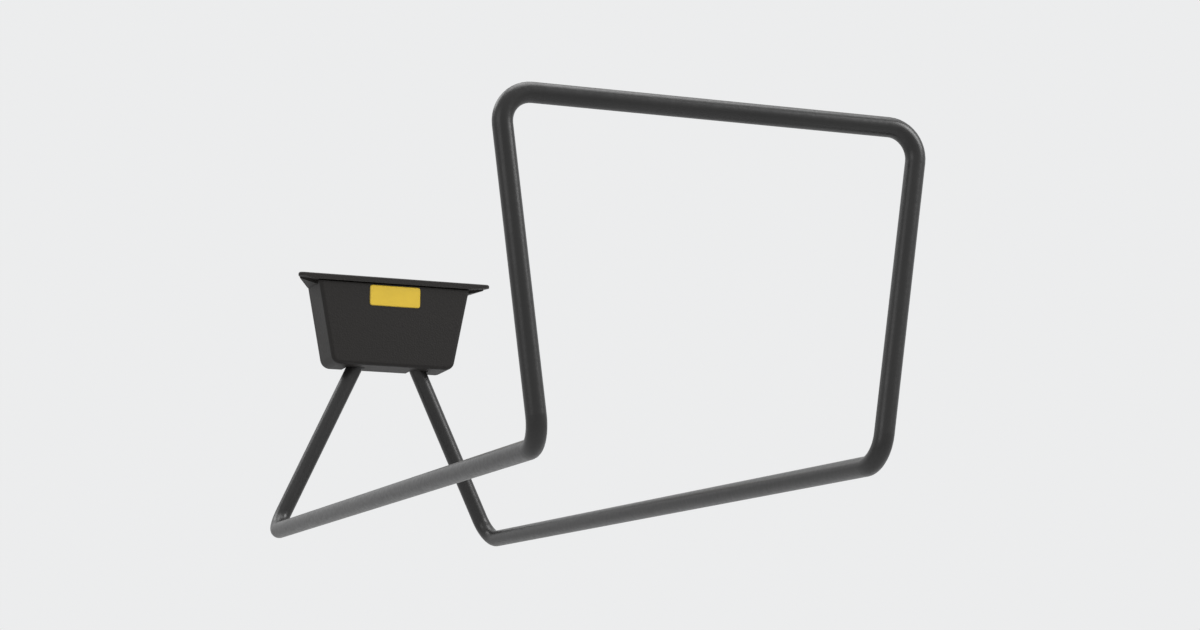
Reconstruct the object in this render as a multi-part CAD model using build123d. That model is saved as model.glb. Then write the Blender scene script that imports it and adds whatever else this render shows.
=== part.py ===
from build123d import *
from math import radians, tan
import os

# Wall storage hook, in millimetres.
# The mounting face is the plane y = 0, the hook reaches out towards -Y, and +Z is up.
# The origin is the middle of the hanger plate's back face, on the hook's mirror plane.

# Bent wire
wire_d = 7.2            # coated diameter
reach = 380.0           # mounting face to the centre line of the front frame
arm_drop = 95.0         # origin down to the centre line of the arms
rear_w = 102.0          # between the arms at their rear ends, centre to centre
front_low_w = 126.0     # between the arms at the front frame, centre to centre
front_top_w = 158.0     # across the top of the front frame, centre to centre
front_h = 119.4         # arms up to the top bar, centre to centre
bend_r = 10.5           # centre-line radius of the frame's and rear bends

# Wire ends, held in the bracket
stem_x = 13.5           # each upright end from the mirror plane
stem_h = 13.0           # from its outward-turned tip down to its sloping leg
knee_r = 16.0
anchor_r = 8.0
tip_gap = 2.5           # tip to the inside of the bracket's side wall

# Moulded bracket body
body_top_w = 73.0       # under the flange
body_low_w = 58.0
body_h = 41.0
body_rise = 22.0        # origin up to the flange's top face
body_depth = 18.0       # mounting face to the front face
corner_r = 4.5
edge_r = 1.6
draft = 1.5             # degrees
side_wall = 2.6
face_wall = 2.8
rim_gap = 0.3           # the rim stays this far off the mounting face

# Flange along the bracket's top
flange_w = 94.0         # along its front edge
flange_t = 2.6
flange_tip_t = 1.3
flange_lap = 1.3        # stands proud of the front face
flange_corner_r = 2.0
flange_bevel = 0.4
flange_brace = 1.6      # the wedge under each end, down the body's side
brace_set = 4.0         # from the front face back to the wedge
top_rim = 3.0           # body wall between the flange and the hanger plate

# Channels, ribs and bosses inside the body
fit_gap = 0.15          # around the wire and the plate
channel_wall = 2.0
rib_t = 1.8
boss_r = 3.9
boss_gap = 0.6          # boss to the wire and side wall next to it

# Hanger plate with its upturned tongue
plate_t = 2.5
plate_bend_r = 1.5      # inside radius
plate_corner_r = 3.0
tongue_w = 58.0
slot_w = 5.2            # from the plate's back face to the tongue
lip_h = 8.0             # above the shelf

# Countersunk screws
screw_d = 3.5
screw_head_d = 6.8
screw_length = 11.0
screw_tip = 1.6
head_sink = 0.1         # below the plate's back face
head_cone = 90.0        # degrees
screw_fit = 0.05
pilot_spare = 2.2       # hole beyond the shank, for the screw's tip

# Badge
badge_w = 24.0
badge_h = 9.4
badge_t = 1.2
badge_sink = 0.8
badge_drop = 1.0        # below the flange
badge_corner_r = 1.2
badge_bevel = 0.3
badge_gap = 0.1

# Places that follow from the sizes above
wire_r = wire_d / 2
wire_y = -(plate_t + fit_gap + wire_r)
body_low_z = body_rise - body_h
flange_low_z = body_rise - flange_t
shelf_z = flange_low_z - top_rim
shoulder_z = shelf_z - plate_t - plate_bend_r
cavity_floor = body_depth - face_wall

# The wire's tips lie halfway up the plate's flat, between the upper and the lower screws.
anchor_z = (body_low_z + side_wall + shoulder_z) / 2
knee_z = anchor_z - stem_h
boss_rise = wire_r + boss_gap + boss_r


def half_width(z):
    # The body narrows evenly from the flange down to its lower edge.
    share = (z - body_low_z) / (flange_low_z - body_low_z)
    return (body_low_w + (body_top_w - body_low_w) * share) / 2


def leg_x(z):
    # A sloping leg runs straight from its knee to the rear corner of its arm.
    share = (knee_z - z) / (knee_z + arm_drop)
    return stem_x + (rear_w / 2 - stem_x) * share


tip_x = half_width(anchor_z) - side_wall - tip_gap
screw_places = [
    (side * x, z)
    for side in (-1, 1)
    for x, z in (
        (tip_x - boss_r, anchor_z + boss_rise),
        (half_width(anchor_z - boss_rise) - side_wall - boss_gap - boss_r, anchor_z - boss_rise),
    )
]


def facing(depth):
    # A plane parallel to the mounting face, looking out of it, this far in front of it.
    return Plane.XZ.offset(depth)


def both_sides(shape):
    return shape + mirror(shape, Plane.YZ)


def profile_plane(path):
    # Across the start of a path: local x points out of the mounting face.
    return Plane(origin=path @ 0, x_dir=(0, -1, 0), z_dir=path % 0)


def hook_wire():
    half = [
        (tip_x, wire_y, anchor_z),
        (stem_x, wire_y, anchor_z),
        (stem_x, wire_y, knee_z),
        (rear_w / 2, wire_y, -arm_drop),
        (front_low_w / 2, -reach, -arm_drop),
        (front_top_w / 2, -reach, front_h - arm_drop),
    ]
    half_radii = [anchor_r, knee_r, bend_r, bend_r, bend_r]
    other = [(-x, y, z) for x, y, z in reversed(half)]
    path = FilletPolyline(*half, *other, radius=half_radii + half_radii[::-1])
    return sweep(profile_plane(path) * Circle(wire_r), path=path)


def channel_path():
    # The wire's own route inside the body, run on through the body's lower edge.
    out_z = body_low_z - wire_d
    return FilletPolyline(
        (tip_x + fit_gap, wire_y, anchor_z),
        (stem_x, wire_y, anchor_z),
        (stem_x, wire_y, knee_z),
        (leg_x(out_z), wire_y, out_z),
        radius=[anchor_r, knee_r],
    )


def along_wire(half, front, back):
    # A straight-sided form along the wire's ends, between two depths in front of the mounting face.
    path = channel_path()
    profile = Pos((front + back) / 2 + wire_y, 0) * Rectangle(front - back, 2 * half)
    return both_sides(sweep(profile_plane(path) * profile, path=path))


def channel_cut():
    # Open at the back, so that the wire is laid in from there.
    half = wire_r + fit_gap
    return along_wire(half, half - wire_y, 0)


def channel_walls():
    return along_wire(wire_r + fit_gap + channel_wall, cavity_floor, plate_t + fit_gap)


def body_outline(inset, top_z, low_z, corner):
    corners = [
        (half_width(low_z) - inset, low_z),
        (half_width(top_z) - inset, top_z),
        (inset - half_width(top_z), top_z),
        (inset - half_width(low_z), low_z),
    ]
    face = make_face(Polyline(*corners, close=True))
    low = face.vertices().sort_by(Axis.Y)[:2]
    return fillet(low, corner)


def body_block():
    outline = body_outline(0, flange_low_z, body_low_z, corner_r)
    block = extrude(facing(rim_gap) * outline, body_depth - rim_gap, taper=draft)
    front = block.faces().sort_by(Axis.Y)[0]
    rims = front.edges().filter_by(lambda edge: edge.center().Z < flange_low_z - edge_r)
    return fillet(rims, edge_r)


def flange_plan(low_z, top_z):
    # Seen from above: widest along its front edge, and as wide as the body at the back.
    front_y = -(body_depth + flange_lap)
    corners = [
        (flange_w / 2, front_y),
        (body_top_w / 2, -rim_gap),
        (-body_top_w / 2, -rim_gap),
        (-flange_w / 2, front_y),
    ]
    face = Pos(0, 0, low_z) * make_face(Polyline(*corners, close=True))
    return extrude(face, top_z - low_z, dir=(0, 0, 1))


def underside(root_z, depth):
    # Drops from the flange's thin tips to the body's sides.
    root_x = half_width(root_z)
    tip_z = body_rise - flange_tip_t
    corners = [
        (flange_w / 2, tip_z),
        (-flange_w / 2, tip_z),
        (-root_x, root_z),
        (root_x, root_z),
    ]
    section = make_face(Polyline(*corners, close=True))
    wedge = extrude(facing(rim_gap) * section, depth - rim_gap, dir=(0, -1, 0))
    return wedge & flange_plan(root_z, tip_z)


def flange():
    lid = flange_plan(body_rise - flange_tip_t, body_rise) + underside(flange_low_z, body_depth + flange_lap)
    tips = lid.edges().filter_by(Axis.Z).sort_by(Axis.Y)[:2]
    lid = fillet(tips, flange_corner_r)
    lid = chamfer(lid.faces().sort_by(Axis.Z)[-1].edges(), flange_bevel)
    return lid + underside(flange_low_z - flange_brace, body_depth - brace_set)


def ribs():
    front = cavity_floor
    back = plate_t + fit_gap
    middle = Pos(0, -(front + back) / 2, 0) * Box(rib_t, front - back, 2 * body_h)
    bosses = [
        extrude(facing(plate_t) * Pos(x, z) * Circle(boss_r), front - plate_t)
        for x, z in screw_places
    ]
    return channel_walls() + middle + bosses


def bracket_body():
    opening = plate_outline(fit_gap, shelf_z + fit_gap)
    cavity = extrude(facing(0) * opening, cavity_floor, taper=draft)
    pilot = Circle(screw_d / 2 + screw_fit)
    pilots = [
        extrude(facing(plate_t) * Pos(x, z) * pilot, screw_length + pilot_spare - plate_t)
        for x, z in screw_places
    ]
    seat = badge_block(badge_gap, badge_sink)
    return body_block() + flange() - (cavity - ribs()) - channel_cut() - pilots - seat


def badge_block(grow, deep):
    outline = RectangleRounded(badge_w + 2 * grow, badge_h + 2 * grow, badge_corner_r + grow)
    place = facing(body_depth - badge_sink) * Pos(0, badge_mid_z())
    return extrude(place * outline, deep)


def badge_mid_z():
    return flange_low_z - badge_drop - badge_h / 2


def badge():
    plate = badge_block(0, badge_t)
    rims = plate.faces().sort_by(Axis.Y)[0].edges()
    return chamfer(rims, badge_bevel)


def plate_outline(grow, top_z):
    # Follows the inside of the body's walls, with a narrower tongue above the shoulders.
    low_z = body_low_z + side_wall + fit_gap
    inset = side_wall + fit_gap
    flat = body_outline(inset - grow, shoulder_z + grow, low_z - grow, corner_r - inset + grow)
    root_z = shoulder_z - plate_t
    tongue = Pos(0, (root_z + top_z) / 2) * Rectangle(tongue_w + 2 * grow, top_z - root_z)
    return flat + tongue


def hanger_plate():
    low_z = body_low_z + side_wall
    lip_top = shelf_z + lip_h
    mid = plate_t / 2
    section_line = FilletPolyline(
        (-mid, low_z),
        (-mid, shelf_z - mid),
        (slot_w + mid, shelf_z - mid),
        (slot_w + mid, lip_top),
        radius=plate_bend_r + mid,
    )
    strip = extrude(Plane.YZ * trace(section_line, line_width=plate_t), body_top_w, both=True)
    outline = plate_outline(0, lip_top)
    outline = fillet(outline.vertices().sort_by(Axis.Y)[-2:], plate_corner_r)
    window = extrude(facing(plate_t) * outline, -(slot_w + 2 * plate_t))
    plate = strip & window
    for x, z in screw_places:
        plate -= facing(0) * Pos(x, z) * screw_form(screw_fit, -head_sink)
    return plate


def screw_form(grow, head_z):
    # Flat-headed screw along the local z axis, with its head's face at head_z.
    r = screw_d / 2 + grow
    head_r = screw_head_d / 2 + grow
    neck_z = head_sink + (head_r - r) / tan(radians(head_cone / 2))
    outline = [
        (0, head_z),
        (head_r + head_sink - head_z, head_z),
        (r, neck_z),
        (r, screw_length),
        (0, screw_length + screw_tip),
    ]
    section = make_face(Polyline(*outline, close=True))
    return revolve(Plane.XZ * section, axis=Axis.Z)


def plate_screws():
    screw = screw_form(0, head_sink)
    return Compound(children=[facing(0) * Pos(x, z) * screw for x, z in screw_places])


os.makedirs("parts", exist_ok=True)
export_step(hook_wire(), "parts/hook_wire.step")
export_step(bracket_body(), "parts/bracket_body.step")
export_step(hanger_plate(), "parts/hanger_plate.step")
export_step(plate_screws(), "parts/plate_screws.step")
export_step(badge(), "parts/badge.step")
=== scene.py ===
import math

import bmesh
import bpy
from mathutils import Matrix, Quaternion, Vector


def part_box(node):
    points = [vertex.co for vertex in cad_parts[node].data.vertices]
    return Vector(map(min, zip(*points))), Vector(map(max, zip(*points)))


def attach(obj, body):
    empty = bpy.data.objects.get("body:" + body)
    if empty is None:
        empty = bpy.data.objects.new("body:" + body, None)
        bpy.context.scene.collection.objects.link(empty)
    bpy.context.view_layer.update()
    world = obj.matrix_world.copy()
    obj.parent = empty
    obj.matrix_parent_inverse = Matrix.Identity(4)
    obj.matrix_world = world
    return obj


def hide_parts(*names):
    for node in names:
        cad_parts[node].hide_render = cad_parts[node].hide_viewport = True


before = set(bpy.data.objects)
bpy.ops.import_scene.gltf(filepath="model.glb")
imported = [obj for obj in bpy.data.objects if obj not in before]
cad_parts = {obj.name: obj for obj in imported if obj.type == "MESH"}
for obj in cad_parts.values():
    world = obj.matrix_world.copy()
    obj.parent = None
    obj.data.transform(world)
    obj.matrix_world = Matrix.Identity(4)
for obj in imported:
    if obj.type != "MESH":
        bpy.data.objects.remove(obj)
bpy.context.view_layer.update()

# Camera: left of the hook, below it and looking slightly up
CAMERA_PLACE = (-0.3982, -1.2842, -0.2033)
CAMERA_AIM = (0.033, -0.19, -0.0175)
CAMERA_LENS = 88.0
CAMERA_ROLL = math.radians(0.43)
CAMERA_NEAR = 0.01

# Lights, aimed at the middle of the hook: name, place, size in metres, power in watts
MIDDLE = (0.0, -0.2, -0.03)
LIGHTS = (
    ("overhead", (0.1, -0.1, 1.5), (1.5, 1.2), 17.0),
    ("key", (1.4, -1.2, 1.0), (0.9, 0.9), 20.0),
    ("fill", (-1.5, -1.0, 0.3), (1.0, 0.8), 3.0),
    ("back", (-0.9, 0.9, 1.2), (1.2, 0.8), 8.0),
)

# Pale surroundings
WHITE = (1.0, 1.0, 1.0, 1.0)
PALE = (0.84, 0.845, 0.85, 1.0)
PALE_STRENGTH = 1.0
SOFT_STRENGTH = 0.45

# How much of the pale surroundings a gloss shows, from below to above, and at which heights
MIRRORED = (0.35, 1.0)
MIRRORED_HEIGHT = (-0.5, 0.4)

# Round floor far below the hook, fading out towards its edge
FLOOR_Z = -0.42
FLOOR_RADIUS = 1.8
FLOOR_SEGMENTS = 96
FLOOR_FADE = (0.55, 1.7)
FLOOR_PALE = (0.70, 0.705, 0.71, 1.0)
FLOOR_SPECKLE = (0.97, 1.0)
BLACK = (0.0, 0.0, 0.0, 1.0)

# Finishes
BLACK_COAT = (0.0125, 0.012, 0.0118, 1.0)
BLACK_MOULDING = (0.014, 0.0125, 0.0115, 1.0)
PLATE_COAT = (0.02, 0.02, 0.0205, 1.0)
DUST = (0.1, 0.097, 0.092, 1.0)
BARE_STEEL = (0.36, 0.355, 0.345, 1.0)
ZINC = (0.6, 0.6, 0.585, 1.0)
ZINC_WARM = (0.68, 0.65, 0.55, 1.0)
BADGE_YELLOW = (0.76, 0.52, 0.04, 1.0)

# An edge is where the surface turns: cosine of the turn, from a full edge to none
EDGE_TURN = (0.86, 0.99)
EDGE_SAMPLES = 8

# Colour sockets of a mix, by number because several sockets share a name
MIX_FIRST = 6
MIX_SECOND = 7
MIX_RESULT = 2

# Countersunk screws, in metres along the axis from the head's face
SCREW_TURNS = 96
HEAD_R = 0.0034
HEAD_EDGE_R = 0.00012
HEAD_RINGS = 40
CONE_INSET = 0.0002
CONE_DEPTH = 0.0003
SHANK_R = 0.00174
SHANK_RINGS = 110
NECK_DROP = 0.0001
ROOT_R = 0.00128
THREAD_PITCH = 0.0013
THREAD_SPAN = (0.0028, 0.0106)
CREST_HALF = 0.25        # share of the pitch
POINT_LENGTH = 0.0016
POINT_SHARES = (0.3, 0.6, 0.85)
FIRST_SPIN = 0.09        # turns of each screw about its axis
SPIN_STEP = 0.17

# Cross recess in the screws' heads
RECESS_REACH = 0.00195
RECESS_DEPTH = 0.0015
RECESS_HALF_W = 0.00042
RECESS_WALL = 0.00016
RECESS_FLARE = 0.5       # added width at the middle, and the share of the reach it covers
RECESS_FLAT = 0.45       # share of the reach at full depth


def make_camera():
    data = bpy.data.cameras.new("camera")
    data.lens = CAMERA_LENS
    data.clip_start = CAMERA_NEAR
    camera = bpy.data.objects.new("camera", data)
    camera.location = CAMERA_PLACE
    gaze = Vector(CAMERA_AIM) - Vector(CAMERA_PLACE)
    turn = gaze.to_track_quat("-Z", "Y") @ Quaternion((0.0, 0.0, 1.0), CAMERA_ROLL)
    camera.rotation_euler = turn.to_euler()
    bpy.context.collection.objects.link(camera)
    bpy.context.scene.camera = camera


def area_light(name, place, size, power):
    data = bpy.data.lights.new(name, "AREA")
    data.shape = "RECTANGLE"
    data.size, data.size_y = size
    data.energy = power
    lamp = bpy.data.objects.new(name, data)
    lamp.location = place
    gaze = Vector(MIDDLE) - Vector(place)
    lamp.rotation_euler = gaze.to_track_quat("-Z", "Y").to_euler()
    bpy.context.collection.objects.link(lamp)


def make_lights():
    for light in LIGHTS:
        area_light(*light)


class Nodes:
    """A short way to write one material's or world's nodes."""

    def __init__(self, tree):
        self.tree = tree
        tree.nodes.clear()

    def put(self, socket, value):
        if isinstance(value, bpy.types.NodeSocket):
            self.tree.links.new(value, socket)
        else:
            socket.default_value = value

    def add(self, kind, inputs, **settings):
        node = self.tree.nodes.new(kind)
        for key, value in settings.items():
            setattr(node, key, value)
        for key, value in inputs.items():
            self.put(node.inputs[key], value)
        return node

    def place(self):
        return self.add("ShaderNodeTexCoord", {}).outputs["Object"]

    def noise(self, scale, detail=3.0, roughness=0.5):
        inputs = {"Vector": self.place(), "Scale": scale, "Detail": detail, "Roughness": roughness}
        return self.add("ShaderNodeTexNoise", inputs).outputs["Fac"]

    def cells(self, scale):
        inputs = {"Vector": self.place(), "Scale": scale}
        return self.add("ShaderNodeTexVoronoi", inputs).outputs["Distance"]

    def span(self, value, low, high, start=0.0, end=1.0):
        inputs = {"Value": value, "From Min": start, "From Max": end, "To Min": low, "To Max": high}
        return self.add("ShaderNodeMapRange", inputs).outputs["Result"]

    def math(self, operation, first, second):
        return self.add("ShaderNodeMath", {0: first, 1: second}, operation=operation).outputs["Value"]

    def mix(self, share, first, second):
        inputs = {"Factor": share, MIX_FIRST: first, MIX_SECOND: second}
        return self.add("ShaderNodeMix", inputs, data_type="RGBA").outputs[MIX_RESULT]

    def bump(self, height, depth, before=None):
        inputs = {"Height": height, "Distance": depth, "Strength": 1.0}
        if before is not None:
            inputs["Normal"] = before
        return self.add("ShaderNodeBump", inputs).outputs["Normal"]

    def normal(self):
        return self.add("ShaderNodeNewGeometry", {}).outputs["Normal"]

    def facing_up(self):
        return self.add("ShaderNodeSeparateXYZ", {0: self.normal()}).outputs["Z"]

    def edges(self, reach):
        """Edges, where the surface's normal turns within this reach."""
        rounded = self.add("ShaderNodeBevel", {"Radius": reach}, samples=EDGE_SAMPLES).outputs["Normal"]
        inputs = {0: rounded, 1: self.normal()}
        along = self.add("ShaderNodeVectorMath", inputs, operation="DOT_PRODUCT").outputs["Value"]
        return self.span(along, 1.0, 0.0, *EDGE_TURN)

    def surface(self, **inputs):
        named = {key.replace("_", " "): value for key, value in inputs.items()}
        shader = self.add("ShaderNodeBsdfPrincipled", named)
        self.add("ShaderNodeOutputMaterial", {"Surface": shader.outputs["BSDF"]})


def new_material(name):
    material = bpy.data.materials.new(name)
    material.use_nodes = True
    return material, Nodes(material.node_tree)


def scaled(colour, factor):
    return (*(channel * factor for channel in colour[:3]), 1.0)


def powder_coat():
    """Satin black powder coat: orange peel, fine grain and a trace of dust on what faces up."""
    material, n = new_material("wire_coat")
    peel = n.noise(scale=620.0, detail=2.0)
    fine = n.noise(scale=2600.0, detail=2.0)
    cloud = n.noise(scale=18.0, detail=4.0)
    settled = n.span(n.facing_up(), low=0.0, high=0.14, start=0.5, end=1.0)
    patches = n.span(cloud, low=0.0, high=1.0, start=0.42, end=0.7)
    dusty = n.math("MULTIPLY", settled, patches)
    shade = n.span(cloud, low=0.0, high=1.0, start=0.3, end=0.7)
    tint = n.mix(shade, scaled(BLACK_COAT, 0.88), scaled(BLACK_COAT, 1.2))
    tint = n.mix(dusty, tint, DUST)
    satin = n.span(peel, low=0.29, high=0.38, start=0.3, end=0.7)
    rough = n.math("ADD", satin, n.math("MULTIPLY", dusty, 0.3))
    normal = n.bump(fine, depth=0.00001, before=n.bump(peel, depth=0.00003))
    n.surface(Base_Color=tint, Roughness=rough, Specular_IOR_Level=0.46, Normal=normal)
    return material


def moulded_plastic():
    """Black moulding with an eroded texture, faint flow clouds and slightly polished edges."""
    material, n = new_material("moulded_black")
    grain = n.noise(scale=1900.0, detail=4.0, roughness=0.6)
    pits = n.cells(scale=1300.0)
    cloud = n.noise(scale=38.0, detail=5.0)
    patches = n.span(n.noise(scale=240.0, detail=4.0), low=0.2, high=1.0, start=0.4, end=0.65)
    polished = n.math("MULTIPLY", n.edges(reach=0.0005), patches)
    tint = n.mix(cloud, scaled(BLACK_MOULDING, 0.92), scaled(BLACK_MOULDING, 1.1))
    tint = n.mix(n.math("MULTIPLY", polished, 0.2), tint, DUST)
    rough = n.span(n.math("SUBTRACT", cloud, polished), low=0.46, high=0.6)
    normal = n.bump(grain, depth=0.00005, before=n.bump(pits, depth=0.00006))
    n.surface(Base_Color=tint, Roughness=rough, Specular_IOR_Level=0.25, Normal=normal)
    return material


def plate_coat():
    """Thin black coat over sheet steel, rubbed to the metal along its edges."""
    material, n = new_material("plate_coat")
    peel = n.noise(scale=1300.0, detail=2.0)
    cloud = n.noise(scale=60.0, detail=5.0)
    flecks = n.noise(scale=700.0, detail=5.0, roughness=0.65)
    chips = n.span(flecks, low=0.0, high=1.0, start=0.5, end=0.6)
    worn = n.math("MULTIPLY", n.edges(reach=0.0004), chips)
    tint = n.mix(cloud, scaled(PLATE_COAT, 0.85), scaled(PLATE_COAT, 1.2))
    tint = n.mix(worn, tint, BARE_STEEL)
    rough = n.span(peel, low=0.4, high=0.5, start=0.3, end=0.7)
    normal = n.bump(peel, depth=0.00002)
    n.surface(Base_Color=tint, Metallic=worn, Roughness=rough, Specular_IOR_Level=0.38, Normal=normal)
    return material


def badge_yellow():
    """Satin yellow field with a fine grain."""
    material, n = new_material("badge_yellow")
    cloud = n.noise(scale=140.0, detail=4.0)
    fine = n.noise(scale=2200.0, detail=3.0)
    tint = n.mix(cloud, scaled(BADGE_YELLOW, 0.92), scaled(BADGE_YELLOW, 1.06))
    rough = n.span(fine, low=0.3, high=0.46)
    normal = n.bump(fine, depth=0.00002)
    n.surface(Base_Color=tint, Roughness=rough, Specular_IOR_Level=0.5, Normal=normal)
    return material


def zinc_plate():
    """Bright zinc over rolled steel, with a faint warm film."""
    material, n = new_material("screw_zinc")
    film = n.span(n.noise(scale=600.0, detail=4.0), low=0.0, high=1.0, start=0.35, end=0.7)
    grain = n.noise(scale=4800.0, detail=2.0)
    tint = n.mix(film, ZINC, ZINC_WARM)
    rough = n.span(grain, low=0.26, high=0.44)
    normal = n.bump(grain, depth=0.000015)
    n.surface(Base_Color=tint, Metallic=1.0, Roughness=rough, Normal=normal)
    return material


def dress(node, material):
    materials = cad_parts[node].data.materials
    materials.clear()
    materials.append(material)


def smoothstep(low, high, value):
    share = min(1.0, max(0.0, (value - low) / (high - low)))
    return share * share * (3.0 - 2.0 * share)


def recess(u, v):
    """Depth of the head's cross recess at a point of its face."""
    along = max(abs(u), abs(v))
    across = min(abs(u), abs(v))
    flare = RECESS_FLARE * smoothstep(RECESS_REACH * RECESS_FLARE, 0.0, along)
    half_w = RECESS_HALF_W * (1.0 + flare)
    wall = smoothstep(half_w + RECESS_WALL, half_w - RECESS_WALL, across)
    floor = RECESS_DEPTH * smoothstep(RECESS_REACH, RECESS_REACH * RECESS_FLAT, along)
    return wall * floor


def thread_r(depth, turn):
    """Radius of the shank at a depth, with a spiral thread that fades in and out."""
    start, end = THREAD_SPAN
    phase = (depth / THREAD_PITCH - turn) % 1.0
    crest = max(0.0, 1.0 - abs(phase - 0.5) / CREST_HALF)
    fade_in = smoothstep(start, start + THREAD_PITCH, depth)
    fade_out = smoothstep(end, end - THREAD_PITCH * 0.5, depth)
    core = SHANK_R + (ROOT_R - SHANK_R) * fade_in * fade_out
    return core + (SHANK_R - core) * crest


def face_ring(r):
    def place(turn):
        angle = turn * math.tau
        return r, recess(r * math.cos(angle), r * math.sin(angle))
    return place


def plain_ring(r, depth):
    return lambda turn: (r, depth)


def thread_ring(depth):
    return lambda turn: (thread_r(depth, turn), depth)


def point_ring(share, shank_end):
    r = min(SHANK_R * (1.0 - share), ROOT_R)
    return plain_ring(r, shank_end + POINT_LENGTH * share)


def screw_rings(length):
    """Radius and depth of each ring, from the middle of the head's face to the point."""
    face_r = HEAD_R - HEAD_EDGE_R
    neck = HEAD_R - SHANK_R + NECK_DROP
    shank_end = length - POINT_LENGTH
    rings = [face_ring(face_r * i / HEAD_RINGS) for i in range(1, HEAD_RINGS + 1)]
    rings.append(plain_ring(HEAD_R, HEAD_EDGE_R))
    rings.append(plain_ring(HEAD_R - CONE_INSET, CONE_DEPTH))
    rings.append(plain_ring(SHANK_R, neck))
    shank = shank_end - neck
    rings += [thread_ring(neck + shank * i / SHANK_RINGS) for i in range(1, SHANK_RINGS + 1)]
    rings += [point_ring(share, shank_end) for share in POINT_SHARES]
    return rings


def screw_centres():
    """Axis of each screw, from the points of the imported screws."""
    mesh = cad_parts["plate_screws"].data
    lowest = min(v.co.y for v in mesh.vertices)
    found = {(round(v.co.x, 5), round(v.co.z, 5)) for v in mesh.vertices if v.co.y < lowest + 1e-5}
    return sorted(found), lowest


def add_ring(shape, ring, centre, face_y, spin):
    x, z = centre
    row = []
    for i in range(SCREW_TURNS):
        turn = i / SCREW_TURNS
        r, depth = ring(turn)
        angle = (turn + spin) * math.tau
        row.append(shape.verts.new((x + r * math.cos(angle), face_y - depth, z + r * math.sin(angle))))
    return row


def join_rings(shape, before, row):
    for i in range(SCREW_TURNS):
        j = (i + 1) % SCREW_TURNS
        shape.faces.new((before[i], before[j], row[j], row[i]))


def close_ring(shape, row, middle):
    for i in range(SCREW_TURNS):
        shape.faces.new((row[i], row[(i + 1) % SCREW_TURNS], middle))


def add_screw(shape, centre, face_y, tip_y, spin):
    x, z = centre
    middle = shape.verts.new((x, face_y - recess(0.0, 0.0), z))
    rows = [add_ring(shape, ring, centre, face_y, spin) for ring in screw_rings(face_y - tip_y)]
    point = shape.verts.new((x, tip_y, z))
    close_ring(shape, rows[0][::-1], middle)
    for before, row in zip(rows, rows[1:]):
        join_rings(shape, before, row)
    close_ring(shape, rows[-1], point)


def make_screws():
    centres, tip_y = screw_centres()
    face_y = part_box("plate_screws")[1][1]
    shape = bmesh.new()
    for count, centre in enumerate(centres):
        add_screw(shape, centre, face_y, tip_y, FIRST_SPIN + SPIN_STEP * count)
    bmesh.ops.recalc_face_normals(shape, faces=shape.faces)
    mesh = bpy.data.meshes.new("plate_screws_detailed")
    shape.to_mesh(mesh)
    shape.free()
    mesh.shade_smooth()
    mesh.materials.append(zinc_plate())
    piece = bpy.data.objects.new("plate_screws_detailed", mesh)
    bpy.context.collection.objects.link(piece)
    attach(piece, "root")
    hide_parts("plate_screws")


def pale_floor():
    """Pale, faintly speckled matt floor that turns clear towards its edge."""
    material, n = new_material("pale_floor")
    reach = n.add("ShaderNodeVectorMath", {0: n.place()}, operation="LENGTH").outputs["Value"]
    seen = n.span(reach, 1.0, 0.0, *FLOOR_FADE)
    speckle = n.span(n.noise(scale=60.0, detail=4.0), *FLOOR_SPECKLE)
    matt = n.add("ShaderNodeBsdfDiffuse", {"Color": n.mix(speckle, BLACK, FLOOR_PALE)})
    clear = n.add("ShaderNodeBsdfTransparent", {})
    both = n.add("ShaderNodeMixShader", {0: seen, 1: clear.outputs[0], 2: matt.outputs[0]})
    n.add("ShaderNodeOutputMaterial", {"Surface": both.outputs[0]})
    return material


def make_floor():
    shape = bmesh.new()
    bmesh.ops.create_circle(shape, cap_ends=True, segments=FLOOR_SEGMENTS, radius=FLOOR_RADIUS)
    mesh = bpy.data.meshes.new("floor")
    shape.to_mesh(mesh)
    shape.free()
    mesh.materials.append(pale_floor())
    floor = bpy.data.objects.new("floor", mesh)
    floor.location = (0.0, 0.0, FLOOR_Z)
    bpy.context.collection.objects.link(floor)


def make_world():
    """Soft white light all round, which the camera and a gloss see as pale surroundings."""
    world = bpy.data.worlds.new("studio")
    bpy.context.scene.world = world
    world.use_nodes = True
    n = Nodes(world.node_tree)
    ray = n.add("ShaderNodeLightPath", {}).outputs
    direction = n.add("ShaderNodeTexCoord", {}).outputs["Generated"]
    height = n.add("ShaderNodeSeparateXYZ", {0: direction}).outputs["Z"]
    mirrored = n.math("MULTIPLY", ray["Is Glossy Ray"], n.span(height, *MIRRORED, *MIRRORED_HEIGHT))
    seen = n.math("MAXIMUM", ray["Is Camera Ray"], ray["Is Transmission Ray"])
    seen = n.math("MAXIMUM", seen, mirrored)
    soft = n.add("ShaderNodeBackground", {"Color": WHITE, "Strength": SOFT_STRENGTH})
    pale = n.add("ShaderNodeBackground", {"Color": PALE, "Strength": PALE_STRENGTH})
    both = n.add("ShaderNodeMixShader", {0: seen, 1: soft.outputs[0], 2: pale.outputs[0]})
    n.add("ShaderNodeOutputWorld", {"Surface": both.outputs[0]})


bpy.context.scene.view_settings.view_transform = "Standard"
make_camera()
make_world()
make_lights()
make_floor()

dress("hook_wire", powder_coat())
dress("bracket_body", moulded_plastic())
dress("hanger_plate", plate_coat())
dress("badge", badge_yellow())
make_screws()
